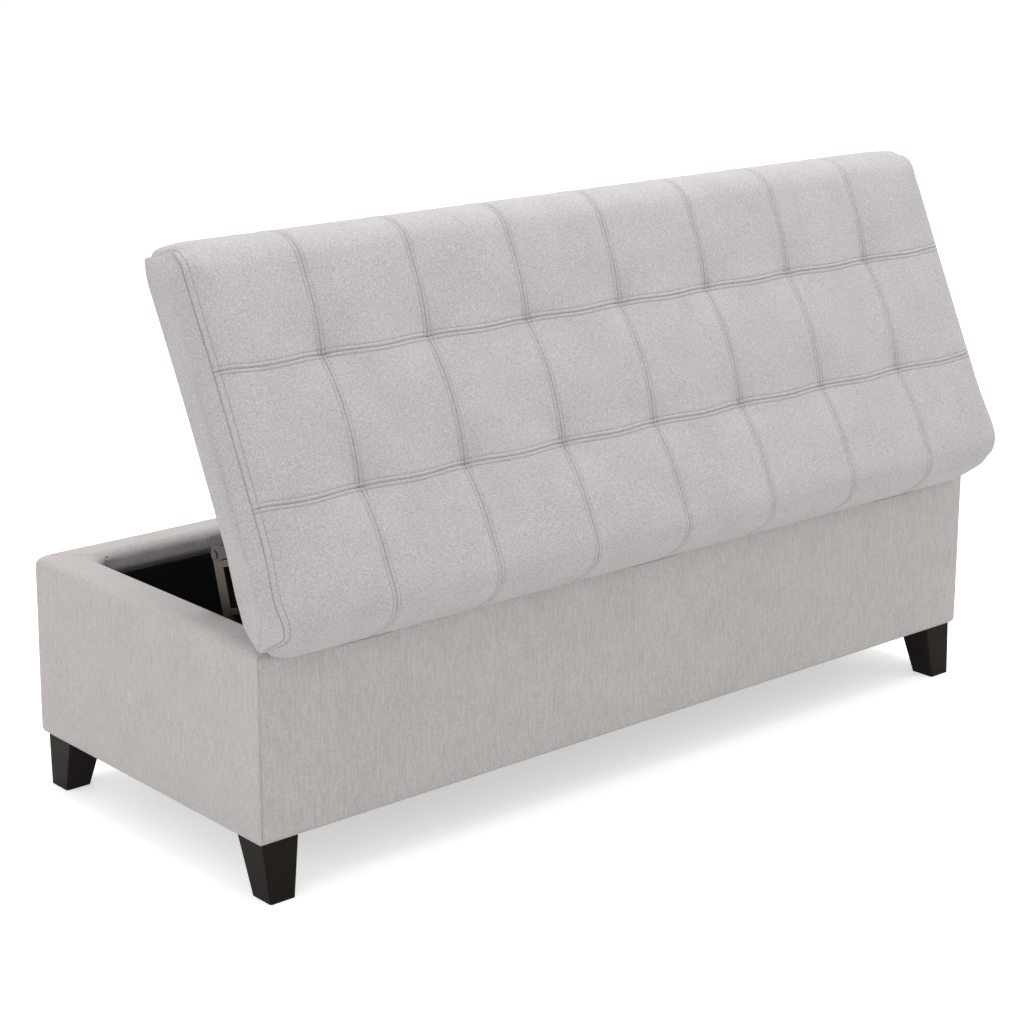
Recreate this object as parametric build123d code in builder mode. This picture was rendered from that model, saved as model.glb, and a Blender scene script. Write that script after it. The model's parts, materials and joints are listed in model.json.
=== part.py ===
"""Upholstered storage bench with a padded lid on hinges and spring stays.

Millimetres. +Z is up, +X runs along the bench and -Y is the side that opens.
The origin is on the floor, under the middle of the box. The lid stands open.
"""
import os
from math import cos, radians, sin

from build123d import *

os.makedirs("parts", exist_ok=True)

# Box
length = 1295.0
depth = 510.0
leg_height = 81.0
rim_height = 327.5
cover = 1.0
wall_foam = 6.0
rim_foam = 10.0
corner_fullness = 1.4
corner_radius = corner_fullness * (cover + wall_foam)
rim_radius = 14.0
rim_inner_radius = 5.0
hem_radius = 4.0
hem_width = 28.0
board = 9.0
board_corner = 7.0
rail_width = 34.0
rail_height = 75.0
return_foam = 2.0
lining = 4.0
lining_cloth = 2.0
return_depth = 34.0
bottom_board = 12.0
fit_gap = 0.3

# Legs
leg_top_x = 55.0
leg_top_y = 56.0
leg_bottom_x = 37.5
leg_bottom_y = 39.0
leg_inset_x = 2.0
leg_inset_y = 7.0
leg_lean_x = 5.3
leg_lean_y = -7.0
leg_edge = 2.0
bolt_diameter = 8.0
bolt_in_leg = 40.0
bolt_in_post = 45.0
bolt_clearance = 0.1

# Lid
lid_overhang = 4.0
lid_length = length + 2 * lid_overhang
lid_depth = 505.0
lid_thickness = 79.0
lid_crown = 4.0
lid_side_slope = 9.0
lid_edge_radius = 42.0
lid_end_radius = 18.0
lid_gap = 0.5
lid_angle = 64.5
lid_board = 15.0
lid_border = 40.0
lid_board_end = 20.0

# Hinges
hinge_width = 75.0
hinge_end_distance = 160.0
hinge_drop = 15.5
leaf = 1.6
leaf_height = 30.0
knuckle_radius = 3.6
knuckles = 3
knuckle_gap = 0.3
pin_radius = 1.5
pin_clearance = 0.05
pin_head = 1.0
leaf_offset = 0.3
notch_gap = 1.5

# Screws
screw = 3.5
screw_head = 6.6
screw_length = 16.0
screw_clearance = 0.1

# Stays
stay_back = 141.0
stay_margin = 1.5
arm_length = 119.0
arm_angle = 74.5
arm_width = 20.0
arm = 3.0
arm_corner = 3.0
link_width = 16.0
link = 2.4
lid_pivot_back = 145.0
lid_pivot_drop = 17.0
wall_plate = 2.0
wall_plate_width = 46.0
wall_plate_above = 12.0
wall_plate_below = 32.0
link_gap = 1.4
arm_gap = 0.4
rivet_radius = 3.0
rivet_head_radius = 5.5
rivet_head = 1.6
rivet_clearance = 0.1
lid_eye_clearance = 3.4
channel_start = 46.0
channel_length = 62.0
channel_depth = 11.0
channel_wall = 1.2
spring_offset = 16.0
spring_radius = 4.2
spring_wire = 0.9
spring_pitch = 6.2
spring_steps = 12
spring_sides = 6
rod_radius = 2.0
lug = 2.0
lug_height = 12.0
bracket_length = 52.0
bracket_width = 22.0
bracket = 2.0
ear_radius = 10.0

# Places worked out from the sizes above
half_length = length / 2
half_depth = depth / 2
skin = cover + wall_foam
wood_x = half_length - skin
wood_y = half_depth - skin
wood_bottom = leg_height + cover
wood_top = rim_height - cover - rim_foam
board_x = wood_x - board
board_y = wood_y - board
rail_x = board_x - rail_width
rail_y = board_y - rail_width
inner_x = rail_x - lining
inner_y = rail_y - lining
wall_inset = half_length - rail_x
rail_bottom = wood_top - rail_height
lining_top = rim_height - return_depth
stay_height = lining_top - stay_margin - wall_plate_above
floor_top = wood_bottom + bottom_board
hinge_y = wood_y + knuckle_radius
hinge_z = rim_height - hinge_drop
lid_underside = rim_height + lid_gap
hinge_places = [-half_length + hinge_end_distance, 0, half_length - hinge_end_distance]
head_depth = (screw_head - screw) / 2
open_cos = cos(radians(lid_angle))
open_sin = sin(radians(lid_angle))
corner_places = [
    ("front_left", -1, -1),
    ("front_right", 1, -1),
    ("back_left", -1, 1),
    ("back_right", 1, 1),
]


def save(piece, name):
    """Labels a finished piece and writes it as its own STEP file."""
    piece.part.label = name
    export_step(piece.part, f"parts/{name}.step")


# Places on the open lid: v runs from the hinge side to the free edge, w from the
# underside to the crown.
lid_back = half_depth - hinge_y
lid_rise = lid_underside - hinge_z
lid_origin_y = hinge_y + lid_back * open_cos + lid_rise * open_sin
lid_origin_z = hinge_z - lid_back * open_sin + lid_rise * open_cos


def lid_point(x, v, w):
    """The place of lid point v, w, at x along the bench, with the lid open."""
    y = lid_origin_y - v * open_cos + w * open_sin
    z = lid_origin_z + v * open_sin + w * open_cos
    return (x, y, z)


def lid_section(x):
    """A plane across the lid at x: its first axis is v and its second w."""
    return Plane(origin=lid_point(x, 0, 0), x_dir=(0, -open_cos, open_sin), z_dir=(-1, 0, 0))


def lid_flat(w):
    """A plane along the lid at height w, facing its crown: its second axis is -v."""
    return Plane(origin=lid_point(0, 0, w), x_dir=(1, 0, 0), z_dir=(0, open_sin, open_cos))


def wall_section(x):
    """A plane across the box at x: its first axis is the distance from the back face."""
    return Plane(origin=(x, half_depth, 0), x_dir=(0, -1, 0), z_dir=(-1, 0, 0))


def screw_bodies(plane, points, grow=0.0, mode=Mode.ADD):
    """Countersunk screws whose heads are flush with the plane, driven along its normal."""
    with BuildSketch(plane) as heads:
        with Locations(*points):
            Circle(screw_head / 2 + grow)
    extrude(heads.sketch, amount=head_depth, taper=45, mode=mode)
    with BuildSketch(plane) as shanks:
        with Locations(*points):
            Circle(screw / 2 + grow)
    extrude(shanks.sketch, amount=screw_length + grow, mode=mode)


# Wooden box
def hinge_screw_points():
    """Screw places on a base leaf, as x and height on the outer back face."""
    spread = hinge_width / 2 - 2 * screw_head
    height = hinge_z - leaf_height / 2 - knuckle_radius / 2
    return [(x + side * spread, height) for x in hinge_places for side in (-1, 1)]


base_leaf_face = Plane(origin=(0, wood_y + leaf, 0), x_dir=(1, 0, 0), z_dir=(0, -1, 0))
base_screw_points = hinge_screw_points()


def plate_face(side):
    """The inner face of a stay's wall plate, facing the wall."""
    x = side * (inner_x - wall_plate)
    return Plane(origin=(x, 0, 0), x_dir=(0, side, 0), z_dir=(side, 0, 0))


def plate_screw_points(side):
    """Two screws above the stay's pivot line and one below."""
    y = half_depth - stay_back
    spread = wall_plate_width / 2 - screw_head
    high = stay_height + wall_plate_above - screw_head
    low = stay_height - wall_plate_below + screw_head
    return [(side * (y - spread), high), (side * (y + spread), high), (side * y, low)]


for name, side in (("front", -1), ("back", 1)):
    with BuildPart() as long_board:
        with BuildSketch(Plane.XY.offset(wood_bottom)):
            with Locations((0, side * (wood_y + board_y) / 2)):
                Rectangle(2 * wood_x, board)
        extrude(amount=wood_top - wood_bottom)
        upright_edges = long_board.edges().filter_by(Axis.Z)
        fillet(upright_edges.sort_by(Axis.Y, reverse=side > 0)[:2], board_corner)
        if name == "back":
            screw_bodies(base_leaf_face, base_screw_points, screw_clearance, Mode.SUBTRACT)
    save(long_board, f"{name}_board")

    with BuildPart() as long_rail:
        with BuildSketch(Plane.XY.offset(rail_bottom)):
            with Locations((0, side * (board_y + rail_y) / 2)):
                Rectangle(2 * board_x, rail_width)
        extrude(amount=rail_height)
        if name == "back":
            screw_bodies(base_leaf_face, base_screw_points, screw_clearance, Mode.SUBTRACT)
    save(long_rail, f"{name}_rail")

    with BuildPart() as long_lining:
        with BuildSketch(Plane.XY.offset(floor_top)):
            with Locations((0, side * (rail_y + inner_y) / 2)):
                Rectangle(2 * inner_x, lining)
        extrude(amount=lining_top - floor_top)
    save(long_lining, f"{name}_lining")

for name, side in (("left", -1), ("right", 1)):
    with BuildPart() as end_board:
        with BuildSketch(Plane.XY.offset(wood_bottom)):
            with Locations((side * (wood_x + board_x) / 2, 0)):
                Rectangle(board, 2 * board_y)
        extrude(amount=wood_top - wood_bottom)
    save(end_board, f"{name}_board")

    with BuildPart() as end_rail:
        with BuildSketch(Plane.XY.offset(rail_bottom)):
            with Locations((side * (board_x + rail_x) / 2, 0)):
                Rectangle(rail_width, 2 * rail_y)
        extrude(amount=rail_height)
        screw_bodies(plate_face(side), plate_screw_points(side), screw_clearance, Mode.SUBTRACT)
    save(end_rail, f"{name}_rail")

    with BuildPart() as end_lining:
        with BuildSketch(Plane.XY.offset(floor_top)):
            with Locations((side * (rail_x + inner_x) / 2, 0)):
                Rectangle(lining, 2 * rail_y)
        extrude(amount=lining_top - floor_top)
        screw_bodies(plate_face(side), plate_screw_points(side), screw_clearance, Mode.SUBTRACT)
    save(end_lining, f"{name}_lining")

# Legs, each with a bolt that runs up through the bottom board into a corner post
leg_x = half_length - leg_inset_x - leg_top_x / 2
leg_y = half_depth - leg_inset_y - leg_top_y / 2
foot_x = half_length - leg_inset_x - leg_lean_x - leg_bottom_x / 2
foot_y = half_depth - leg_inset_y - leg_lean_y - leg_bottom_y / 2
bolt_places = [(sx * leg_x, sy * leg_y) for name, sx, sy in corner_places]
bolt_hole = bolt_diameter / 2 + bolt_clearance

for name, sx, sy in corner_places:
    with BuildPart() as leg:
        with BuildSketch(Plane.XY) as foot:
            with Locations((sx * foot_x, sy * foot_y)):
                Rectangle(leg_bottom_x, leg_bottom_y)
            chamfer(foot.vertices(), leg_edge)
        with BuildSketch(Plane.XY.offset(leg_height)) as top:
            with Locations((sx * leg_x, sy * leg_y)):
                Rectangle(leg_top_x, leg_top_y)
            chamfer(top.vertices(), leg_edge)
        loft()
        with BuildSketch(Plane.XY.offset(leg_height)):
            with Locations((sx * leg_x, sy * leg_y)):
                Circle(bolt_hole)
        extrude(amount=-bolt_in_leg, mode=Mode.SUBTRACT)
    save(leg, f"{name}_leg")

with BuildPart() as leg_bolts:
    with BuildSketch(Plane.XY.offset(leg_height - bolt_in_leg)):
        with Locations(*bolt_places):
            Circle(bolt_diameter / 2)
    extrude(amount=bolt_in_leg + cover + bottom_board + bolt_in_post)
save(leg_bolts, "leg_bolts")

with BuildPart() as corner_posts:
    with BuildSketch(Plane.XY.offset(floor_top)):
        for name, sx, sy in corner_places:
            with Locations((sx * (board_x + rail_x) / 2, sy * (board_y + rail_y) / 2)):
                Rectangle(rail_width, rail_width)
    extrude(amount=rail_bottom - floor_top)
    with BuildSketch(Plane.XY.offset(floor_top)):
        with Locations(*bolt_places):
            Circle(bolt_hole)
    extrude(amount=bolt_in_post, mode=Mode.SUBTRACT)
save(corner_posts, "corner_posts")

with BuildPart() as bottom:
    with BuildSketch(Plane.XY.offset(wood_bottom)):
        Rectangle(2 * board_x, 2 * board_y)
        with Locations(*bolt_places):
            Circle(bolt_hole, mode=Mode.SUBTRACT)
    extrude(amount=bottom_board)
save(bottom, "bottom_board")

with BuildPart() as floor_lining:
    with BuildSketch(Plane.XY.offset(floor_top)):
        Rectangle(2 * (inner_x - fit_gap), 2 * (inner_y - fit_gap))
    extrude(amount=lining_cloth)
save(floor_lining, "floor_lining")

with BuildPart() as dust_cover:
    with BuildSketch(Plane.XY.offset(leg_height)):
        Rectangle(2 * (half_length - hem_width - fit_gap), 2 * (half_depth - hem_width - fit_gap))
        with Locations(*bolt_places):
            Circle(bolt_hole, mode=Mode.SUBTRACT)
    extrude(amount=cover)
save(dust_cover, "dust_cover")


# Padding and cover of the box
def wall_form(inset):
    """The upholstered walls as one ring, set in by inset from every face."""
    with BuildPart() as form:
        with BuildSketch(Plane.XY.offset(leg_height + inset)) as outline:
            Rectangle(length - 2 * inset, depth - 2 * inset)
            corners = outline.vertices().sort_by(lambda corner: corner.X + corner.Y)
            fillet(corners[:-1], corner_radius - inset)
        extrude(amount=rim_height - leg_height - 2 * inset)
        with BuildSketch(Plane.XY.offset(leg_height)):
            hollow = wall_inset + cover + return_foam - inset
            Rectangle(length - 2 * hollow, depth - 2 * hollow)
        extrude(amount=rim_height - leg_height, mode=Mode.SUBTRACT)
        rim = form.faces().sort_by(Axis.Z)[-1]
        fillet(rim.outer_wire().edges(), rim_radius - inset)
        rim = form.faces().sort_by(Axis.Z)[-1]
        fillet(rim.inner_wires()[0].edges(), rim_inner_radius - inset)
        hem = form.faces().sort_by(Axis.Z)[0]
        fillet(hem.outer_wire().edges(), hem_radius - inset)
    return form.part


def cut_inside():
    """Takes away what lies inside the walls below the fabric's inner return."""
    with BuildSketch(Plane.XY.offset(leg_height)) as inside:
        Rectangle(length - 2 * hem_width, depth - 2 * hem_width)
    extrude(inside.sketch, amount=lining_top - leg_height, mode=Mode.SUBTRACT)


def cut_hinge_notches():
    """Pockets for the base leaves, open above the knuckles for the lid leaves."""
    leaf_foot = hinge_z - leaf_height - notch_gap
    knuckle_foot = hinge_z - knuckle_radius - notch_gap
    notch_width = hinge_width + 2 * notch_gap
    with BuildSketch(Plane.XY.offset(leaf_foot)) as leaves:
        for x in hinge_places:
            with Locations((x, wood_y + leaf / 2)):
                Rectangle(notch_width, leaf + 2 * fit_gap)
    extrude(leaves.sketch, amount=leaf_height, mode=Mode.SUBTRACT)
    with BuildSketch(Plane.XY.offset(knuckle_foot)) as knuckle_rooms:
        for x in hinge_places:
            with Locations((x, wood_y + skin / 2)):
                Rectangle(notch_width, skin + 2 * fit_gap)
    extrude(knuckle_rooms.sketch, amount=rim_height - knuckle_foot, mode=Mode.SUBTRACT)


with BuildPart() as base_cover:
    add(wall_form(0))
    add(wall_form(cover), mode=Mode.SUBTRACT)
    cut_inside()
    cut_hinge_notches()
    with BuildSketch(Plane.XY.offset(leg_height)):
        with Locations(*bolt_places):
            Circle(bolt_hole)
    extrude(amount=cover, mode=Mode.SUBTRACT)
save(base_cover, "base_cover")

with BuildPart() as wall_padding:
    add(wall_form(cover))
    cut_inside()
    with BuildSketch(Plane.XY.offset(leg_height)):
        Rectangle(2 * wood_x, 2 * wood_y)
    extrude(amount=rim_height - leg_height, mode=Mode.SUBTRACT)
    cut_hinge_notches()
    split(bisect_by=Plane.XY.offset(wood_top), keep=Keep.BOTTOM)
save(wall_padding, "wall_padding")

with BuildPart() as rim_padding:
    add(wall_form(cover))
    cut_inside()
    with BuildSketch(Plane.XY.offset(leg_height)):
        Rectangle(2 * wood_x, 2 * wood_y)
        Rectangle(2 * rail_x, 2 * rail_y, mode=Mode.SUBTRACT)
    extrude(amount=wood_top - leg_height, mode=Mode.SUBTRACT)
    with BuildSketch(Plane.XY.offset(leg_height)):
        Rectangle(length, depth)
        Rectangle(2 * wood_x, 2 * wood_y, mode=Mode.SUBTRACT)
    extrude(amount=wood_top - leg_height, mode=Mode.SUBTRACT)
    cut_hinge_notches()
save(rim_padding, "rim_padding")


# Lid
lid_leaf_v = half_depth - wood_y - leaf_offset
lid_board_back = lid_leaf_v
lid_board_front = lid_depth - lid_side_slope - cover
leaf_on_lid = leaf_height - lid_rise
lid_screw_height = cover + lid_board / 2


def lid_form(inset):
    """The lid's padded block, set in by inset from every face."""
    top = lid_thickness - inset
    front = lid_depth - inset
    slope = lid_side_slope
    with BuildPart() as form:
        with BuildSketch(lid_section(0)) as profile:
            with BuildLine():
                low_back = (inset, inset)
                low_front = (front, inset)
                high_back = (inset + slope, top - lid_crown)
                high_front = (front - slope, top - lid_crown)
                Polyline(high_back, low_back, low_front, high_front)
                ThreePointArc(high_front, (lid_depth / 2, top), high_back)
            make_face()
            shoulders = profile.vertices().sort_by(Axis.Y)[-2:]
            fillet(shoulders, lid_edge_radius - inset)
        extrude(amount=lid_length / 2 - inset, both=True)
        for end in (0, -1):
            face = form.faces().sort_by(Axis.X)[end]
            rounded = [edge for edge in face.edges() if lid_height(edge.center()) > inset + 1]
            fillet(rounded, lid_end_radius - inset)
    return form.part


def lid_height(point):
    """How far a point lies above the lid's underside, across the lid."""
    return (point.Y - lid_origin_y) * open_sin + (point.Z - lid_origin_z) * open_cos


def lid_leaf_slot():
    """Room for the lid leaves behind the lid board."""
    low = -lid_gap
    high = leaf_on_lid + fit_gap
    with BuildSketch(lid_flat(low)) as slots:
        for x in hinge_places:
            with Locations((x, -(lid_leaf_v - leaf / 2))):
                Rectangle(hinge_width + 2 * fit_gap, leaf + 2 * fit_gap)
    extrude(slots.sketch, amount=high - low, mode=Mode.SUBTRACT)


lid_leaf_face = Plane(
    origin=lid_point(0, lid_leaf_v - leaf, 0),
    x_dir=(1, 0, 0),
    z_dir=(0, -open_cos, open_sin),
)
lid_screw_points = [(x, lid_screw_height) for x, z in hinge_screw_points()]


def bracket_screw_points(side):
    """Two screws along a lid bracket, as places on the lid's underside."""
    x = side * (inner_x - bracket_inset)
    spread = bracket_length / 2 - screw_head
    return [(x, -(lid_pivot_back - spread)), (x, -(lid_pivot_back + spread))]


bracket_inset = wall_plate + link_gap + link + arm_gap + bracket_width / 2
bracket_face = lid_flat(-bracket)
bracket_points = bracket_screw_points(-1) + bracket_screw_points(1)

with BuildPart() as lid_panel:
    with BuildSketch(lid_section(0)):
        with Locations(((lid_board_back + lid_board_front) / 2, cover + lid_board / 2)):
            Rectangle(lid_board_front - lid_board_back, lid_board)
    extrude(amount=lid_length / 2 - lid_board_end, both=True)
    screw_bodies(lid_leaf_face, lid_screw_points, screw_clearance, Mode.SUBTRACT)
    screw_bodies(bracket_face, bracket_points, screw_clearance, Mode.SUBTRACT)
save(lid_panel, "lid_board")

with BuildPart() as lid_cushion:
    add(lid_form(cover))
    with BuildSketch(lid_section(0)):
        with Locations(((lid_board_back + lid_board_front) / 2, (cover + lid_board) / 2)):
            Rectangle(lid_board_front - lid_board_back, cover + lid_board)
    extrude(amount=lid_length / 2 - lid_board_end, both=True, mode=Mode.SUBTRACT)
    lid_leaf_slot()
save(lid_cushion, "lid_cushion")

with BuildPart() as lid_cover:
    add(lid_form(0))
    add(lid_form(cover), mode=Mode.SUBTRACT)
    with BuildSketch(lid_section(0)):
        with Locations((lid_depth / 2, cover / 2)):
            Rectangle(lid_depth - 2 * lid_border, cover)
    extrude(amount=lid_length / 2 - lid_border, both=True, mode=Mode.SUBTRACT)
    lid_leaf_slot()
save(lid_cover, "lid_cover")

with BuildPart() as lid_lining:
    with BuildSketch(lid_section(0)):
        with Locations((lid_depth / 2, cover / 2)):
            Rectangle(lid_depth - 2 * (lid_border + fit_gap), cover)
    extrude(amount=lid_length / 2 - lid_border - fit_gap, both=True)
    screw_bodies(bracket_face, bracket_points, screw_clearance, Mode.SUBTRACT)
save(lid_lining, "lid_lining")

# Hinges
knuckle_pitch = hinge_width / knuckles


def knuckle_spans(first):
    """Centres of the knuckles of one leaf, along the pin."""
    start = -hinge_width / 2 + knuckle_pitch / 2
    return [start + knuckle_pitch * turn for turn in range(first, knuckles, 2)]


def leaf_part(plane, plate_points, first, other_first):
    """A leaf: its plate, its own knuckles, and room for the other leaf's knuckles."""
    own = knuckle_pitch - knuckle_gap
    other = knuckle_pitch + knuckle_gap
    with BuildSketch(plane) as plate:
        with BuildLine():
            Polyline(*plate_points, close=True)
        make_face()
    extrude(plate.sketch, amount=hinge_width / 2, both=True)
    for centre in knuckle_spans(other_first):
        with BuildSketch(plane.offset(-centre)) as room:
            Circle(knuckle_radius + knuckle_gap)
        extrude(room.sketch, amount=other / 2, both=True, mode=Mode.SUBTRACT)
    for centre in knuckle_spans(first):
        with BuildSketch(plane.offset(-centre)) as knuckle:
            Circle(knuckle_radius)
        extrude(knuckle.sketch, amount=own / 2, both=True)
    with BuildSketch(plane) as bore:
        Circle(pin_radius + pin_clearance)
    extrude(bore.sketch, amount=hinge_width, both=True, mode=Mode.SUBTRACT)


hinge_names = ["left", "middle", "right"]
for name, x in zip(hinge_names, hinge_places):
    axis_plane = Plane(origin=(x, hinge_y, hinge_z), x_dir=(0, -1, 0), z_dir=(-1, 0, 0))
    inner = knuckle_radius
    outer = knuckle_radius - leaf
    with BuildPart() as base_leaf:
        foot = -leaf_height
        leaf_part(axis_plane, [(outer, 0), (inner, 0), (inner, foot), (outer, foot)], 0, 1)
        screw_bodies(base_leaf_face, base_screw_points, screw_clearance, Mode.SUBTRACT)
    save(base_leaf, f"{name}_hinge_base_leaf")

    lid_axis_plane = Plane(
        origin=(x, hinge_y, hinge_z), x_dir=(0, -open_cos, open_sin), z_dir=(-1, 0, 0)
    )
    inner = knuckle_radius - leaf_offset
    outer = inner - leaf
    with BuildPart() as lid_leaf:
        tip = leaf_height
        leaf_part(lid_axis_plane, [(outer, 0), (inner, 0), (inner, tip), (outer, tip)], 1, 0)
        screw_bodies(lid_leaf_face, lid_screw_points, screw_clearance, Mode.SUBTRACT)
    save(lid_leaf, f"{name}_hinge_lid_leaf")

with BuildPart() as hinge_pins:
    for x in hinge_places:
        axis_plane = Plane(origin=(x, hinge_y, hinge_z), x_dir=(0, -1, 0), z_dir=(-1, 0, 0))
        with BuildSketch(axis_plane):
            Circle(pin_radius)
        extrude(amount=hinge_width / 2, both=True)
        for end in (-1, 1):
            with BuildSketch(axis_plane.offset(end * hinge_width / 2)):
                Circle(knuckle_radius - pin_clearance)
            extrude(amount=end * pin_head)
save(hinge_pins, "hinge_pins")

with BuildPart() as hinge_base_screws:
    screw_bodies(base_leaf_face, base_screw_points)
save(hinge_base_screws, "hinge_base_screws")

with BuildPart() as hinge_lid_screws:
    screw_bodies(lid_leaf_face, lid_screw_points)
save(hinge_lid_screws, "hinge_lid_screws")

# Stays
link_at = wall_plate + link_gap
arm_at = link_at + link + arm_gap
channel_at = arm_at + arm
arm_cos = cos(radians(arm_angle))
arm_sin = sin(radians(arm_angle))
elbow = (stay_back + arm_length * arm_cos, stay_height + arm_length * arm_sin)
lid_pivot_place = lid_point(0, lid_pivot_back, -lid_pivot_drop)
lid_pivot = (half_depth - lid_pivot_place[1], lid_pivot_place[2])
link_run = Vector(lid_pivot[0] - elbow[0], lid_pivot[1] - elbow[1])
first_lug = channel_start + lug / 2
last_lug = channel_start + channel_length - lug / 2
tab_width = spring_offset + spring_radius + 2 * lug
lug_foot = arm_width / 2 + fit_gap
spring_gap = spring_wire + fit_gap
spring_at = channel_at + lug_height / 2


def arm_plane(side, inset):
    """Along the arm and across it towards the hinge, at inset from the inner wall."""
    return Plane(
        origin=(side * (inner_x - inset), half_depth - stay_back, stay_height),
        x_dir=(0, -arm_cos, arm_sin),
        z_dir=(-1, 0, 0),
    )


def link_plane(side, inset):
    """Along the link from the elbow, at inset from the inner wall."""
    return Plane(
        origin=(side * (inner_x - inset), half_depth - elbow[0], elbow[1]),
        x_dir=(0, -link_run.X, link_run.Y),
        z_dir=(-1, 0, 0),
    )


def disc(plane, place, radius, thickness, mode=Mode.ADD):
    """A round shaft, head or hole at a place on the plane."""
    with BuildSketch(plane) as round_face:
        with Locations(place):
            Circle(radius)
    extrude(round_face.sketch, amount=thickness, mode=mode)


for name, side in (("left", -1), ("right", 1)):
    with BuildPart() as stay_plate:
        middle = stay_height + (wall_plate_above - wall_plate_below) / 2
        with BuildSketch(wall_section(side * inner_x)):
            with Locations((stay_back, middle)):
                height = wall_plate_above + wall_plate_below
                RectangleRounded(wall_plate_width, height, rivet_head_radius)
        extrude(amount=side * wall_plate)
        screw_bodies(plate_face(side), plate_screw_points(side), screw_clearance, Mode.SUBTRACT)
    save(stay_plate, f"{name}_stay_plate")

    with BuildPart() as arm_bar:
        with BuildSketch(arm_plane(side, arm_at)):
            with Locations((arm_length / 2, 0)):
                RectangleRounded(arm_length + arm_width, arm_width, arm_corner)
            for place in (first_lug, last_lug):
                with Locations((place, tab_width / 2)):
                    Rectangle(4 * lug, tab_width)
        extrude(amount=side * arm)
        with BuildSketch(arm_plane(side, channel_at)):
            for place in (first_lug, last_lug):
                with Locations((place, (lug_foot + tab_width) / 2)):
                    Rectangle(lug, tab_width - lug_foot)
        extrude(amount=side * lug_height)
        rod_hole = rod_radius + pin_clearance
        rod_line = arm_plane(side, spring_at)
        rod_start = rod_line.from_local_coords((channel_start - lug, spring_offset, 0))
        with BuildSketch(Plane(origin=rod_start, z_dir=rod_line.x_dir)):
            Circle(rod_hole)
        extrude(amount=channel_length + 2 * lug, mode=Mode.SUBTRACT)
        hole = rivet_radius + rivet_clearance
        disc(arm_plane(side, arm_at), (0, 0), hole, side * arm, Mode.SUBTRACT)
        disc(arm_plane(side, arm_at), (arm_length, 0), hole, side * arm, Mode.SUBTRACT)
    save(arm_bar, f"{name}_stay_arm")

    with BuildPart() as channel:
        with BuildSketch(arm_plane(side, channel_at)):
            with Locations((channel_start + channel_length / 2, 0)):
                Rectangle(channel_length, arm_width)
        extrude(amount=side * channel_depth)
        with BuildSketch(arm_plane(side, channel_at)):
            with Locations((channel_start + channel_length / 2, 0)):
                Rectangle(channel_length, arm_width - 2 * channel_wall)
        extrude(amount=side * (channel_depth - channel_wall), mode=Mode.SUBTRACT)
    save(channel, f"{name}_stay_channel")

    with BuildPart() as spring_rod:
        with BuildSketch(Plane(origin=rod_start, z_dir=rod_line.x_dir)):
            Circle(rod_radius + lug / 2)
        extrude(amount=lug)
        with BuildSketch(Plane(origin=rod_start, z_dir=rod_line.x_dir)):
            Circle(rod_radius)
        extrude(amount=channel_length + 2 * lug)
        far_end = rod_start + rod_line.x_dir * (channel_length + lug)
        with BuildSketch(Plane(origin=far_end, z_dir=rod_line.x_dir)):
            Circle(rod_radius + lug / 2)
        extrude(amount=lug)
    save(spring_rod, f"{name}_stay_spring_rod")

    with BuildPart() as spring:
        spring_start = rod_start + rod_line.x_dir * (2 * lug + spring_gap)
        spring_height = channel_length - 2 * lug - 2 * spring_gap
        coil_plane = Plane(origin=spring_start, z_dir=rod_line.x_dir)
        coil_points = []
        for step in range(int(spring_height / spring_pitch * spring_steps)):
            turn = radians(360 * step / spring_steps)
            rise = spring_pitch * step / spring_steps
            place = (spring_radius * cos(turn), spring_radius * sin(turn), rise)
            coil_points.append(coil_plane.from_local_coords(place))
        with BuildLine() as coil:
            Polyline(*coil_points)
        with BuildSketch(Plane(origin=coil.line @ 0, z_dir=coil.line % 0)):
            RegularPolygon(spring_wire, spring_sides)
        sweep(transition=Transition.RIGHT)
    save(spring, f"{name}_stay_spring")

    with BuildPart() as link_bar:
        link_length = link_run.length
        eye = rivet_radius + lid_eye_clearance
        with BuildSketch(link_plane(side, link_at)):
            SlotCenterPoint((link_length / 2, 0), (link_length, 0), link_width)
            with Locations((link_length, 0)):
                Circle(eye + link_width / 4)
                Circle(eye, mode=Mode.SUBTRACT)
        extrude(amount=side * link)
        hole = rivet_radius + rivet_clearance
        disc(link_plane(side, link_at), (0, 0), hole, side * link, Mode.SUBTRACT)
    save(link_bar, f"{name}_stay_link")

    with BuildPart() as elbow_rivet:
        outer = arm_plane(side, link_at - fit_gap)
        inner = arm_plane(side, channel_at + rivet_clearance)
        reach = channel_at + rivet_clearance - link_at + fit_gap
        disc(outer, (arm_length, 0), rivet_radius, side * reach)
        disc(outer, (arm_length, 0), rivet_head_radius, -side * (link_gap - 2 * fit_gap))
        disc(inner, (arm_length, 0), rivet_head_radius, side * rivet_head)
    save(elbow_rivet, f"{name}_stay_elbow_rivet")

    with BuildPart() as lid_bracket:
        with BuildSketch(lid_flat(-bracket)):
            with Locations((side * (inner_x - bracket_inset), -lid_pivot_back)):
                RectangleRounded(bracket_width, bracket_length, bracket)
        extrude(amount=bracket)
        with BuildSketch(lid_section(side * (inner_x - arm_at))):
            with BuildLine():
                Polyline(
                    (lid_pivot_back - 2 * ear_radius, -bracket),
                    (lid_pivot_back + 2 * ear_radius, -bracket),
                    (lid_pivot_back + ear_radius, -lid_pivot_drop),
                    (lid_pivot_back - ear_radius, -lid_pivot_drop),
                    close=True,
                )
            make_face()
            with Locations((lid_pivot_back, -lid_pivot_drop)):
                Circle(ear_radius)
        extrude(amount=side * bracket)
        screw_bodies(bracket_face, bracket_points, screw_clearance, Mode.SUBTRACT)
    save(lid_bracket, f"{name}_lid_bracket")

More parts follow.
